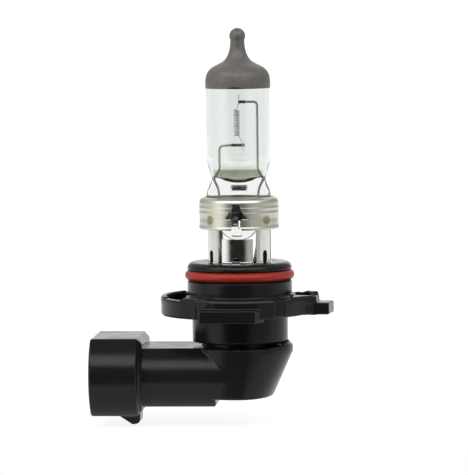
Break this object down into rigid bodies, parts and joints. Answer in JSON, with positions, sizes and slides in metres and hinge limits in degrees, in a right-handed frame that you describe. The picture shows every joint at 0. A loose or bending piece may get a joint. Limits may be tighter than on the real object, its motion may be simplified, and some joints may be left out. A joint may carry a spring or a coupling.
{
  "type": "headlight bulb",
  "caption": "Right-angle halogen headlight bulb: quartz capsule with an opaque tip, bright metal ring and cage, sealed twist-lock base and an oval side socket.",
  "frame": {"origin": "on the bulb's axis, in the plane of the flange's top face, which seats against the lamp", "axes": "+Z along the bulb's axis towards the glass tip; the connector points along -X; the index tab lies towards +X"},
  "size_m": [0.0491, 0.0329, 0.0807],
  "materials": {
    "quartz": "polished",
    "antiglare_paint": "satin",
    "tungsten": "satin",
    "molybdenum": "satin",
    "bright_steel": "polished",
    "black_plastic": "satin",
    "seal_rubber": "satin",
    "terminal_metal": "satin",
    "potting_resin": "satin"
  },
  "bodies": {
    "root": {"glass_envelope": "quartz", "antiglare_cap": "antiglare_paint", "filament": "tungsten", "upper_filament_clamp": "molybdenum", "lower_filament_clamp": "molybdenum", "long_support_wire": "molybdenum", "short_support_wire": "molybdenum", "long_seal_foil": "molybdenum", "short_seal_foil": "molybdenum", "long_lead_wire": "molybdenum", "short_lead_wire": "molybdenum", "pinch_clip": "bright_steel", "focus_ring": "bright_steel", "leg_cage": "bright_steel", "mounting_barrel": "black_plastic", "ring_seal": "seal_rubber", "elbow_housing": "black_plastic", "long_lead_terminal": "terminal_metal", "short_lead_terminal": "terminal_metal", "terminal_spacer": "black_plastic", "potting_seal": "potting_resin"}
  },
  "joints": []
}
